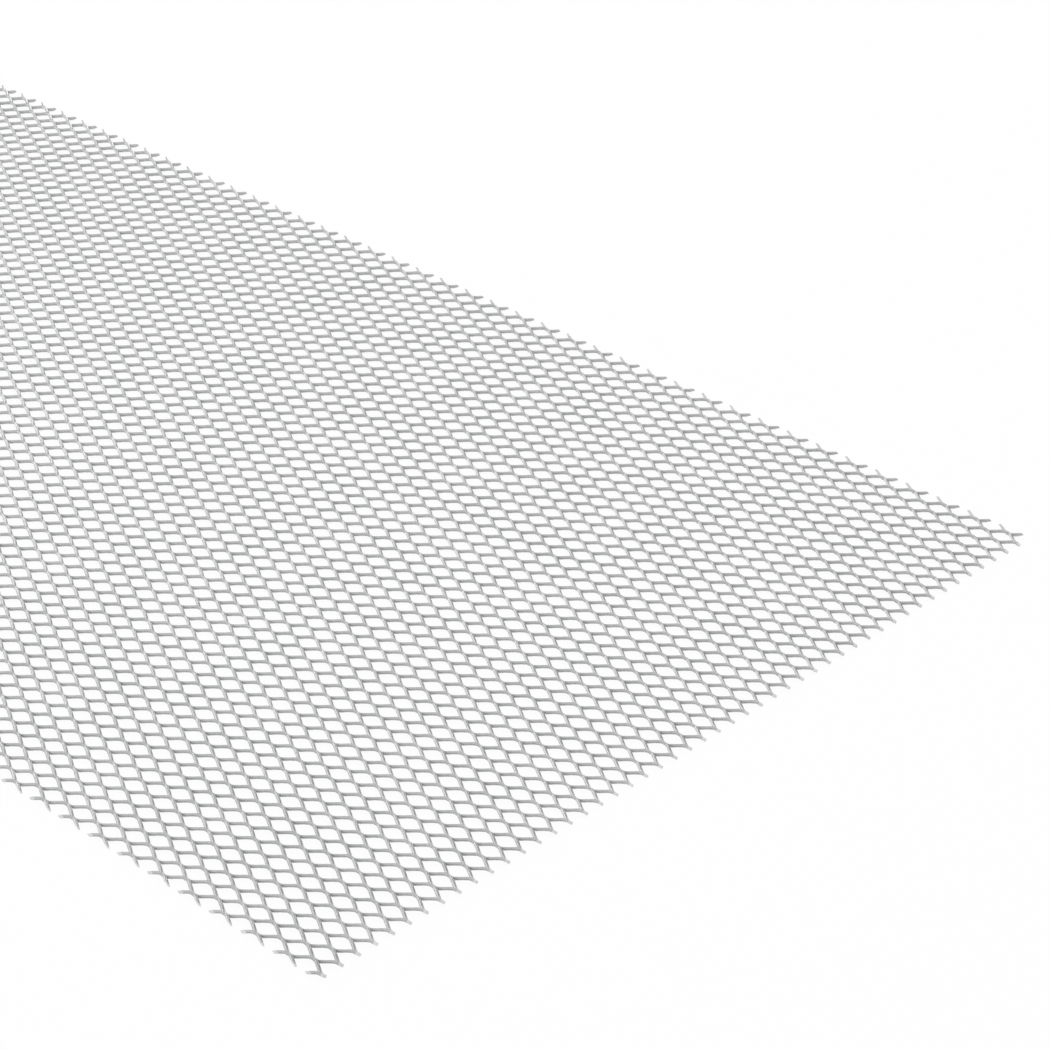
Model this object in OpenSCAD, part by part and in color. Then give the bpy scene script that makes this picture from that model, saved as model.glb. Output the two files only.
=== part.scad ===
// Raised expanded metal: one sheet that a knife slits and stretches into a mesh of diamonds.
// X runs along the long way of the diamonds, Y along the short way, and Z is up.
// The origin is under the middle of the sheet, on the surface that it lies on.
// Every strand leans, with its near edge high, and a bond is where two strands share their metal.

/* [Sheet] */
// Length of the sheet, along the long way of the diamonds
sheet_length = 1000; // [300:1:1200]
// Width of the sheet, along the short way of the diamonds
sheet_width = 500; // [200:1:600]

/* [Diamonds] */
// Long way of a diamond, from bond to bond
long_way = 20.38; // [18:0.02:30]
// Short way of a diamond, from bond to bond
short_way = 10.19; // [9:0.01:15]
// Metal left past the first bonds at the right end, where the shears cut through them
end_tip = 0.69; // [0.4:0.01:3]
// Length of the cut stubs past the first bonds along the near side
side_stub = 2.89; // [2:0.01:4.4]

/* [Strands] */
// Thickness of the metal, across a strand's narrow face
metal_t = 1.35; // [1:0.05:1.6]
// Width of a strand, across its broad face
strand_w = 2.1; // [1.6:0.05:2.6]
// Lean of the broad faces, from the plane of the sheet
strand_lean = 40; // [35:1:55]
// Height that two strands share at a bond
bond_bite = 0.9; // [0.5:0.05:1]

/* [Hidden] */
// The mesh is one piece of metal, held in bands that meet face to face across cut strands
bands = 8;

half_length = sheet_length / 2;
half_width = sheet_width / 2;

// Bonds stand where row and column add to an even number, counted from the near right corner
corner_bond = [half_length - end_tip, -half_width + side_stub];
column_gap = long_way / 2;
row_gap = short_way / 2;
last_column = floor((sheet_length - end_tip) / column_gap);
bond_rows = floor((sheet_width - side_stub) / row_gap) + 1;

// Angle that a strand makes with the length of the sheet
heading = atan2(short_way, long_way);

// A leaning strand's height, its offset from the bond and the whole height of the mesh
strand_h = strand_w * sin(strand_lean) + metal_t * cos(strand_lean);
set_back = strand_w / 2 * cos(strand_lean);
mesh_h = 2 * strand_h - bond_bite;
lift = (strand_h - bond_bite) / 2;

// Room past a band's cut, so that the square end of a strand is cut away whole
overrun = 2 * (strand_w + metal_t);

// First row of bonds in band i, and the cut before it, halfway along the strands
function first_row(i) = round(i * bond_rows / bands);
function cut(i) =
    i == 0 ? -half_width :
    i == bands ? half_width :
    corner_bond[1] + (first_row(i) - 0.5) * row_gap;

// Place of the bond, or of the opening, at a column and a row
function lattice(column, row) = corner_bond + [-column * column_gap, row * row_gap];

// One straight run of leaning strands between two bonds; rising runs lie over falling ones
module strand_run(rise, left, right) {
    translate([left[0], left[1], mesh_h / 2 + rise * lift])
        rotate([0, 0, rise * heading])
            rotate([90, 0, 90])
                translate([-rise * set_back, 0, -overrun])
                    linear_extrude(height = norm(right - left) + 2 * overrun)
                        rotate(-strand_lean)
                            square([strand_w, metal_t], center = true);
}

// The strands of one band, sheared flush with its cuts and with the sheet's ends
// A run is there if one of its bonds lies in the band, and it reaches a row past the band both ways
module mesh_band(i) {
    low = first_row(i);
    high = first_row(i + 1) - 1;
    near = cut(i);
    far = cut(i + 1);
    color("silver")
        intersection() {
            union() {
                for (m = [ceil(low / 2) : floor((last_column + high) / 2)])
                    strand_run(1, lattice(2 * m - low + 1, low - 1), lattice(2 * m - high - 1, high + 1));
                for (m = [ceil(-high / 2) : floor((last_column - low) / 2)])
                    strand_run(-1, lattice(2 * m + high + 1, high + 1), lattice(2 * m + low - 1, low - 1));
            }
            translate([-half_length, near, -mesh_h])
                cube([sheet_length, far - near, 3 * mesh_h]);
        }
}

for (i = [0 : bands - 1])
    mesh_band(i);
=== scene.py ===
# %% [markdown]
# # A sheet of raised expanded metal
#
# Expanded metal starts as a plain sheet. A toothed knife slits it in rows and pushes each slit
# open, so strips of metal zigzag between short bonds where they stay joined. This lesson loads the
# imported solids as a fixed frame, models the slit and stretched strips in their place, gives them a
# galvanised finish, and sets up a plain white studio.

# %% Load the frame and keep its box
import math

import bmesh
import bpy
import numpy as np
from mathutils import Matrix, Vector


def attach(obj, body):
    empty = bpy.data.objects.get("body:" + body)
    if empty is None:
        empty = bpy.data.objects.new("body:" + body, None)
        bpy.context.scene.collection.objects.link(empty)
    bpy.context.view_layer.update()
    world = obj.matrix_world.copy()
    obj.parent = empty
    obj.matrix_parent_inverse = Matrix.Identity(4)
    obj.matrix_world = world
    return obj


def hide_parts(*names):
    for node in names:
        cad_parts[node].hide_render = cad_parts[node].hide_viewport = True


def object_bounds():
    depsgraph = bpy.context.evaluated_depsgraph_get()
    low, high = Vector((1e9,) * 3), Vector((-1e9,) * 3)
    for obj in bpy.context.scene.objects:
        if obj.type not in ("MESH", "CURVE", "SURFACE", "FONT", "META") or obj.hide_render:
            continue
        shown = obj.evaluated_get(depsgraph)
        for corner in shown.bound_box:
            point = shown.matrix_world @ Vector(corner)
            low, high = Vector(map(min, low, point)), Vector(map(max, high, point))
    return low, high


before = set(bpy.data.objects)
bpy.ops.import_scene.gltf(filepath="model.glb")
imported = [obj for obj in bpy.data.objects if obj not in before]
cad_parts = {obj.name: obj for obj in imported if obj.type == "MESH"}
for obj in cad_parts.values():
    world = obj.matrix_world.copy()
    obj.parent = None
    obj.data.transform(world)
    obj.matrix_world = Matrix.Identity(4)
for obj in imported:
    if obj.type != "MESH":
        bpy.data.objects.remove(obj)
cad_low, cad_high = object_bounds()
scene = bpy.context.scene
scene.view_settings.view_transform = "Standard"
print("CAD box in metres:", list(cad_low), list(cad_high))

# %% [markdown]
# ## The camera
#
# The sheet runs out of the picture on the left, so the camera can't be framed on the whole object.
# It is placed by the pattern instead: the spot and the direction below were found by fitting a
# pinhole camera to the rows of openings. The long lens keeps the perspective mild.

# %% Place the camera
PHOTO_PIXELS = 1050
FOCAL_PIXELS = 3406
SENSOR_WIDTH_MM = 36
CLIP_NEAR, CLIP_FAR = 0.05, 100
CAMERA_SPOT = Vector((1.3474, -1.0126, 0.9031))
CAMERA_FORWARD = Vector((-0.5928, 0.6215, -0.5122))
CAMERA_UP = Vector((-0.3547, 0.3695, 0.8589))


def place_camera():
    data = bpy.data.cameras.new("photo_camera")
    data.sensor_width = SENSOR_WIDTH_MM
    data.lens = SENSOR_WIDTH_MM * FOCAL_PIXELS / PHOTO_PIXELS
    data.clip_start = CLIP_NEAR
    data.clip_end = CLIP_FAR
    camera = bpy.data.objects.new("photo_camera", data)
    back = -CAMERA_FORWARD.normalized()
    right = CAMERA_UP.cross(back).normalized()
    up = back.cross(right)
    turn = Matrix((right, up, back)).transposed().to_4x4()
    camera.matrix_world = Matrix.Translation(CAMERA_SPOT) @ turn
    scene.collection.objects.link(camera)
    return camera


scene.camera = place_camera()
print("Lens in millimetres:", round(scene.camera.data.lens, 1))

# %% [markdown]
# ## The pattern
#
# Every bond of the sheet sits on one lattice: columns are half a long way apart, rows are half a
# short way apart, and there is a bond where column and row add up to an even number. The sheet's
# own edges come from the frame, so the pattern lies exactly where the solids are.

# %% Lay out the lattice of bonds
MM = 0.001
LONG_WAY = 20.38 * MM
SHORT_WAY = 10.19 * MM
END_TIP = 0.69 * MM
SIDE_STUB = 2.89 * MM
COLUMN_GAP = LONG_WAY / 2
ROW_GAP = SHORT_WAY / 2

right_bond = cad_high.x - END_TIP
near_bond = cad_low.y + SIDE_STUB
columns = int((cad_high.x - cad_low.x - END_TIP) / COLUMN_GAP) + 1
rows = int((cad_high.y - cad_low.y - SIDE_STUB) / ROW_GAP) + 1
bands = sorted(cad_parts)
print(columns, "columns and", rows, "rows of lattice points, in", len(bands), "bands")

# %% [markdown]
# ## One bond
#
# Two neighbouring strips share the metal of a bond, then part and run to the next bonds. All bonds
# are alike, so one is modelled as a small X: two strips side by side, each with half a bond and the
# near halves of two strands. A curve with a bevel could make a strip too, but it would leave a
# hidden wall inside every bond. So a strip is a chain of sections, each a rectangle with eased
# edges: the knife draws two edges of a strip round and leaves the other two sharp. The metal leans
# over as it is stretched, so the sections stand at an angle.

# %% Sizes of the strip
STRAND_W = 2.1 * MM
METAL_T = 1.35 * MM
BOND_LEAN = math.radians(44)
STRAND_LEAN = math.radians(36)
BOND_LENGTH = 3.5 * MM
NEAR_SHOULDER = 1.2 * MM
FAR_SHOULDER = 0.6 * MM
DRAWN_EDGE = (0.26 * MM, 0.20 * MM)
SHARP_EDGE = (0.08 * MM, 0.08 * MM)
mesh_height = 2 * STRAND_W * math.sin(BOND_LEAN) + METAL_T * math.cos(BOND_LEAN)
bond_height = mesh_height / 2
print("Height of the mesh in millimetres:", round(mesh_height / MM, 2))


# %% Shape one section
def across(lean):
    """Directions across the broad face and through the metal, where a section leans by an angle."""
    broad = np.array((0, math.cos(lean), -math.sin(lean)))
    through = np.array((0, math.sin(lean), math.cos(lean)))
    return broad, through


def section(centre, lean, seam):
    """Seven points round a strip; on its seam side, -1 or 1, a bond has no eased edges."""
    broad, through = across(lean)
    w, t = STRAND_W / 2, METAL_T / 2
    (drawn_w, drawn_t), (sharp_w, sharp_t) = DRAWN_EDGE, SHARP_EDGE
    far_drawn = 0 if seam > 0 else drawn_t
    near_drawn, near_sharp = (0, 0) if seam < 0 else (drawn_t, sharp_t)
    outline = [
        (w, -t), (w, t - far_drawn), (w - drawn_w, t), (-w + sharp_w, t),
        (-w, t - near_sharp), (-w, -t + near_drawn), (-w + drawn_w, -t),
    ]
    return [centre + p * broad + q * through for p, q in outline]


# %% Chain the sections of a strip through its bond
def strip(side, reach):
    """Sections of a bond's far (1) or near (-1) strip; reach 1 ends halfway along the strands."""
    broad, _ = across(BOND_LEAN)
    seat = side * broad * STRAND_W / 2
    middle = np.array((0, side * ROW_GAP / 2, 0))
    half = BOND_LENGTH / 2
    run = COLUMN_GAP / 2 - half
    start = half - FAR_SHOULDER
    end = half + (FAR_SHOULDER if side > 0 else NEAR_SHOULDER)
    turn = (end - half) / run
    bend = ((start + 2 * half + end) / 4, turn / 4)
    path = [(start, 0), bend, (end, turn), (half + run * reach, reach)]
    stations = []
    for x, share in path:
        lean = BOND_LEAN + (STRAND_LEAN - BOND_LEAN) * min(1, share)
        stations.append((x, seat + (middle - seat) * share, lean, share == 0))
    chain = []
    for x, offset, lean, on_bond in stations[::-1]:
        chain.append(section(offset - np.array((x, 0, 0)), lean, -side if on_bond else 0))
    for x, offset, lean, on_bond in stations:
        chain.append(section(offset + np.array((x, 0, 0)), lean, -side if on_bond else 0))
    return np.array(chain)


far_strip = strip(1, 1)
near_strip = strip(-1, 1)
print("Sections along a strip at one bond:", len(far_strip))

# %% Faces of one bond
SKIN, SLIT, EDGE, CUT = range(4)
FACE_FINISH = (SLIT, EDGE, SKIN, EDGE, SLIT, EDGE, SKIN)
SIDES = len(FACE_FINISH)
FAR_SLIT, NEAR_SLIT = 0, 4


def bond_faces(sections, seam_side):
    """Quads between the sections, and the finish of each; the seam inside a bond is left out."""
    faces, finishes = [], []
    for i in range(sections - 1):
        for a in range(SIDES):
            if i == sections // 2 - 1 and a == seam_side:
                continue
            b = (a + 1) % SIDES
            here, there = i * SIDES, (i + 1) * SIDES
            faces.append((here + a, here + b, there + b, there + a))
            finishes.append(FACE_FINISH[a])
    return faces, finishes


far_faces, far_finish = bond_faces(len(far_strip), NEAR_SLIT)
near_faces, near_finish = bond_faces(len(near_strip), FAR_SLIT)
strip_points = len(far_strip) * SIDES
unit_faces = np.concatenate((far_faces, np.array(near_faces) + strip_points))
unit_finish = np.array(far_finish + near_finish)
print("Faces of one bond:", len(unit_faces))

# %% [markdown]
# ## The bands
#
# The sheet is one piece of metal, but its solids come in bands, so the mesh does too. A band is the
# X of one bond copied to all its places. Array modifiers could copy it as well, but an array of
# points also lets the first and last rows have longer strands. The copies meet ring to ring halfway
# along the strands and are welded there. Four shear cuts then trim the band to the edges of the
# sheet, and faces with a finish of their own close the cut ends. Where two bands meet, their
# strands end face to face.

# %% Copy the bond along a band
SIDE_REACH = 2.2


def unit_points(row):
    """Points of a bond in a row, with longer strands on the first and last row."""
    far = strip(1, SIDE_REACH if row == rows - 1 else 1)
    near = strip(-1, SIDE_REACH if row == 0 else 1)
    return np.concatenate((far, near)).reshape(-1, 3)


def band_arrays(first, last):
    """Points, faces and finishes of all the bonds from one row to another."""
    points = []
    for row in range(first, last + 1):
        shape = unit_points(row)
        for column in range(row % 2, columns, 2):
            spot = (right_bond - column * COLUMN_GAP, near_bond + row * ROW_GAP, bond_height)
            points.append(shape + np.array(spot))
    places = len(points)
    steps = np.arange(places)[:, None, None] * 2 * strip_points
    faces = (unit_faces[None] + steps).reshape(-1, 4)
    return np.concatenate(points), faces, np.tile(unit_finish, places)


print("Points of one bond:", len(unit_points(0)))


# %% Shear the edges and close the ends
def shear(mesh, spot, outward):
    """Cut away what lies past a plane."""
    geometry = mesh.verts[:] + mesh.edges[:] + mesh.faces[:]
    bmesh.ops.bisect_plane(mesh, geom=geometry, plane_co=spot, plane_no=outward, clear_outer=True)


def close_ends(mesh):
    """Close the open ends of the strands with sharp-edged faces, and count them."""
    rims = [e for e in mesh.edges if e.is_boundary]
    made = bmesh.ops.holes_fill(mesh, edges=rims, sides=0)["faces"]
    for face in made:
        face.material_index = CUT
        for edge in face.edges:
            edge.smooth = False
    return len(made)


# %% Make one band
WELD = 0.004 * MM
CUTS = [
    (cad_high, Vector((1, 0, 0))), (cad_low, Vector((-1, 0, 0))),
    (cad_high, Vector((0, 1, 0))), (cad_low, Vector((0, -1, 0))),
]


def make_band(name, first, last):
    points, faces, finish = band_arrays(first, last)
    data = bpy.data.meshes.new(name)
    data.from_pydata(points.tolist(), [], faces.tolist())
    data.polygons.foreach_set("material_index", finish.astype(np.int32))
    data.shade_smooth()
    mesh = bmesh.new()
    mesh.from_mesh(data)
    bmesh.ops.remove_doubles(mesh, verts=mesh.verts[:], dist=WELD)
    for corner, outward in CUTS:
        shear(mesh, corner, outward)
    ends = close_ends(mesh)
    mesh.to_mesh(data)
    mesh.free()
    piece = bpy.data.objects.new(name, data)
    scene.collection.objects.link(piece)
    data.calc_loop_triangles()
    triangles = len(data.loop_triangles)
    print(name, "rows", first, "to", last, "triangles", triangles, "closed ends", ends)
    return piece


# %% Make all the bands
AREA_WEIGHT = 100


def first_row(band):
    """First row of a band, rounding halves up as the solids do."""
    return math.floor(band * rows / len(bands) + 0.5)


def keep_faces_flat(piece):
    """Let the large faces of a strip set the shading, so that only its eased edges look round."""
    modifier = piece.modifiers.new("flat_faces", "WEIGHTED_NORMAL")
    modifier.mode = "FACE_AREA"
    modifier.weight = AREA_WEIGHT
    modifier.keep_sharp = True


pieces = []
for index, node in enumerate(bands):
    piece = make_band("stretched_" + node, first_row(index), first_row(index + 1) - 1)
    keep_faces_flat(piece)
    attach(piece, "root")
    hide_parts(node)
    pieces.append(piece)
print("Bands:", len(pieces))

# %% [markdown]
# ## The finish
#
# Zinc gives the sheet's skin a soft grey with a faint mottle. The slit faces were torn open, so
# they are rougher and duller, with fine streaks through the metal. The rolled edges between them get
# a darker grey, which is painted shade: it draws a thin dark line of shade along each strand. The
# ends that the shears cut last are the brightest. Mottle and streaks are used by several materials,
# so each is a node group that puts out values that change over the surface. They come from noise,
# which keeps its scale on every strand and needs no unwrapping.


# %% Helpers for node trees
NOISE_LOW, NOISE_HIGH = 0.3, 0.7


def new_group(name, inputs, outputs):
    group = bpy.data.node_groups.new(name, "ShaderNodeTree")
    for label, value in inputs.items():
        socket = group.interface.new_socket(
            name=label, in_out="INPUT", socket_type="NodeSocketFloat")
        socket.default_value = value
    for label in outputs:
        group.interface.new_socket(name=label, in_out="OUTPUT", socket_type="NodeSocketFloat")
    return group, group.nodes.new("NodeGroupInput"), group.nodes.new("NodeGroupOutput")


def noise(tree, per_metre, detail):
    """Noise with its own number of spots to the metre along X, Y and Z."""
    coordinates = tree.nodes.new("ShaderNodeTexCoord")
    stretch = tree.nodes.new("ShaderNodeMapping")
    stretch.inputs["Scale"].default_value = per_metre
    node = tree.nodes.new("ShaderNodeTexNoise")
    node.inputs["Scale"].default_value = 1
    node.inputs["Detail"].default_value = detail
    tree.links.new(coordinates.outputs["Object"], stretch.inputs["Vector"])
    tree.links.new(stretch.outputs["Vector"], node.inputs["Vector"])
    return node.outputs["Fac"]


def spread(tree, source):
    """Stretch a noise value, which stays near its middle, to run from -1 to 1."""
    node = tree.nodes.new("ShaderNodeMapRange")
    node.inputs["From Min"].default_value = NOISE_LOW
    node.inputs["From Max"].default_value = NOISE_HIGH
    node.inputs["To Min"].default_value = -1
    node.inputs["To Max"].default_value = 1
    tree.links.new(source, node.inputs["Value"])
    return node.outputs["Result"]


def weighed_sum(tree, terms):
    """Add up sources, each times a weight that comes from another socket."""
    total = None
    for source, weight in terms:
        node = tree.nodes.new("ShaderNodeMath")
        node.operation = "MULTIPLY_ADD" if total else "MULTIPLY"
        tree.links.new(source, node.inputs[0])
        tree.links.new(weight, node.inputs[1])
        if total:
            tree.links.new(total, node.inputs[2])
        total = node.outputs[0]
    return total


# %% Build the mottle group
CLOUDS_PER_METRE = (35, 35, 35)
GRAINS_PER_METRE = (2200, 2200, 2200)


def mottle_group():
    """Soft clouds of zinc and a fine grain."""
    group, take, give = new_group("zinc_mottle", {"Cloud": 0.5, "Grain": 0.5}, ("Shade", "Height"))
    cloud = spread(group, noise(group, CLOUDS_PER_METRE, 3))
    grain = spread(group, noise(group, GRAINS_PER_METRE, 4))
    terms = ((cloud, take.outputs["Cloud"]), (grain, take.outputs["Grain"]))
    group.links.new(weighed_sum(group, terms), give.inputs["Shade"])
    group.links.new(grain, give.inputs["Height"])
    return group


mottle = mottle_group()
print("Node group:", mottle.name)

# %% Build the streak group
STREAKS_PER_METRE = (6000, 250, 250)


def streak_group():
    """Lines that the knife drags through the metal: close along the sheet, long across it."""
    group, take, give = new_group("shear_streaks", {"Streak": 0.5}, ("Shade", "Height"))
    lines = spread(group, noise(group, STREAKS_PER_METRE, 2))
    shade = weighed_sum(group, ((lines, take.outputs["Streak"]),))
    group.links.new(shade, give.inputs["Shade"])
    group.links.new(lines, give.inputs["Height"])
    return group


streaks = streak_group()
print("Node group:", streaks.name)

# %% Build a metal finish
DARK_SPOT = (0.82, 0.83, 0.845)
LIGHT_SPOT = (1.18, 1.18, 1.175)
ROUGHNESS_SWING = 0.07
RELIEF_DEPTH = 0.02 * MM


def add_effect(tree, group, **amounts):
    node = tree.nodes.new("ShaderNodeGroup")
    node.node_tree = group
    for socket, amount in amounts.items():
        node.inputs[socket].default_value = amount
    return node


def ranged(tree, source, low, high):
    """Turn a shade that runs from -1 to 1 into a value that runs from low to high."""
    node = tree.nodes.new("ShaderNodeMapRange")
    node.inputs["From Min"].default_value = -1
    node.inputs["To Min"].default_value = low
    node.inputs["To Max"].default_value = high
    tree.links.new(source, node.inputs["Value"])
    return node.outputs["Result"]


def surface_effects(tree, cloud, grain, streak):
    """Shade and height of the mottle, with the streaks added where there are any."""
    zinc = add_effect(tree, mottle, Cloud=cloud, Grain=grain)
    if not streak:
        return zinc.outputs["Shade"], zinc.outputs["Height"]
    drag = add_effect(tree, streaks, Streak=streak)
    both = tree.nodes.new("ShaderNodeMath")
    both.operation = "ADD"
    tree.links.new(zinc.outputs["Shade"], both.inputs[0])
    tree.links.new(drag.outputs["Shade"], both.inputs[1])
    return both.outputs[0], drag.outputs["Height"]


def metal(name, grey, roughness, cloud, grain, streak, bump):
    """A grey metal whose brightness, roughness and relief follow the mottle and the streaks."""
    material = bpy.data.materials.new(name)
    material.use_nodes = True
    tree = material.node_tree
    shader = tree.nodes["Principled BSDF"]
    shader.inputs["Metallic"].default_value = 1
    shade, height = surface_effects(tree, cloud, grain, streak)
    tint = tree.nodes.new("ShaderNodeMix")
    tint.data_type = "RGBA"
    tint.inputs["A"].default_value = (*(grey * part for part in DARK_SPOT), 1)
    tint.inputs["B"].default_value = (*(grey * part for part in LIGHT_SPOT), 1)
    tree.links.new(ranged(tree, shade, 0, 1), tint.inputs["Factor"])
    tree.links.new(tint.outputs["Result"], shader.inputs["Base Color"])
    gloss = ranged(tree, shade, roughness + ROUGHNESS_SWING, roughness - ROUGHNESS_SWING)
    tree.links.new(gloss, shader.inputs["Roughness"])
    relief = tree.nodes.new("ShaderNodeBump")
    relief.inputs["Strength"].default_value = bump
    relief.inputs["Distance"].default_value = RELIEF_DEPTH
    tree.links.new(height, relief.inputs["Height"])
    tree.links.new(relief.outputs["Normal"], shader.inputs["Normal"])
    return material


# %% Give the bands their finishes, in the order of the face numbers
finishes = [
    metal("zinc_skin", grey=0.69, roughness=0.24, cloud=0.45, grain=0.35, streak=0, bump=0.2),
    metal("slit_face", grey=0.54, roughness=0.38, cloud=0.30, grain=0.25, streak=0.3, bump=0.35),
    # The darker grey of the rolled edges is painted shade, a dark line along each strand.
    metal("rolled_edge_painted_shade", grey=0.43, roughness=0.30, cloud=0.25, grain=0.25, streak=0, bump=0.1),
    metal("sheared_end", grey=0.78, roughness=0.55, cloud=0.20, grain=0.30, streak=0.4, bump=0.4),
]
for piece in pieces:
    for material in finishes:
        piece.data.materials.append(material)
print("Finishes:", [m.name for m in finishes])

# %% [markdown]
# ## The floor
#
# The sheet lies on a plain white floor. To the camera the floor is close to pure white, with a
# little of its real shading kept, so that the mesh still throws a faint shadow. More lamps would
# make the floor white too, but they would wash out the metal. Light Path tells the rays apart, so
# this white comes from the floor's own material. The metal's reflections get a smaller share of it,
# because all of it would bleach the undersides of the strands.

# %% Lay the floor
FLOOR_SIZE = 40
FLOOR_COLOUR = (0.9, 0.9, 0.9, 1)
FLOOR_ROUGHNESS = 0.9
FLOOR_SHINE = 0.1
FLOOR_GLOW = {"Is Camera Ray": 0.95, "Is Glossy Ray": 0.37, "Is Transmission Ray": 0.37}


def by_ray(tree, levels, base):
    """A value for each kind of ray: its own level, or the base level where that is more."""
    path = tree.nodes.new("ShaderNodeLightPath")
    most = None
    for ray, level in levels.items():
        share = tree.nodes.new("ShaderNodeMath")
        share.operation = "MULTIPLY"
        share.inputs[1].default_value = level
        tree.links.new(path.outputs[ray], share.inputs[0])
        larger = tree.nodes.new("ShaderNodeMath")
        larger.operation = "MAXIMUM"
        larger.inputs[0].default_value = base
        if most:
            tree.links.new(most, larger.inputs[0])
        tree.links.new(share.outputs[0], larger.inputs[1])
        most = larger.outputs[0]
    return most


def white_floor():
    material = bpy.data.materials.new("white_floor")
    material.use_nodes = True
    tree = material.node_tree
    paper = tree.nodes["Principled BSDF"]
    paper.inputs["Base Color"].default_value = FLOOR_COLOUR
    paper.inputs["Roughness"].default_value = FLOOR_ROUGHNESS
    paper.inputs["Specular IOR Level"].default_value = FLOOR_SHINE
    glow = tree.nodes.new("ShaderNodeEmission")
    mix = tree.nodes.new("ShaderNodeMixShader")
    tree.links.new(by_ray(tree, FLOOR_GLOW, 0), mix.inputs["Fac"])
    tree.links.new(paper.outputs["BSDF"], mix.inputs[1])
    tree.links.new(glow.outputs["Emission"], mix.inputs[2])
    tree.links.new(mix.outputs["Shader"], tree.nodes["Material Output"].inputs["Surface"])
    return material


bpy.ops.mesh.primitive_plane_add(size=FLOOR_SIZE, location=(0, 0, cad_low.z))
floor = bpy.context.object
floor.name = "floor"
floor.data.materials.append(white_floor())
print("Floor at height", round(cad_low.z, 6))

# %% [markdown]
# ## The lights
#
# Bare metal shows its shape by what its faces mirror. A softbox low on the left brightens the slit
# faces of the strands that run down to the right and leaves the others darker, and one at the back
# brightens the skin toward the left end. A weak one in front and a wide one above keep the shadows
# soft. The world is a dim white, brighter in reflections, and full white only where the camera
# looks past the floor.

# %% Hang the softboxes
# Each has a place and a size in metres, and a power in watts
SOFTBOXES = {
    "left_softbox": ((-2.4, -1.0, 0.62), 1.2, 8),
    "back_softbox": ((-1.4, 2.4, 0.7), 2.0, 15.5),
    "front_softbox": ((-0.4, -2.6, 1.4), 1.8, 4.5),
    "top_softbox": ((0, 0, 3.0), 3.0, 44),
}

for name, (spot, size, power) in SOFTBOXES.items():
    data = bpy.data.lights.new(name, "AREA")
    data.shape = "SQUARE"
    data.size = size
    data.energy = power
    light = bpy.data.objects.new(name, data)
    light.location = spot
    light.rotation_euler = (-Vector(spot)).to_track_quat("-Z", "Y").to_euler()
    scene.collection.objects.link(light)

# %% Light the world
WORLD_GLOW = {"Is Camera Ray": 1, "Is Glossy Ray": 0.67, "Is Transmission Ray": 0.67}
WORLD_BASE = 0.55

world = bpy.data.worlds.new("studio")
scene.world = world
world.use_nodes = True
background = world.node_tree.nodes["Background"]
background.inputs["Color"].default_value = (1, 1, 1, 1)
strength = by_ray(world.node_tree, WORLD_GLOW, WORLD_BASE)
world.node_tree.links.new(strength, background.inputs["Strength"])
print("World strength:", WORLD_BASE, "and", WORLD_GLOW)
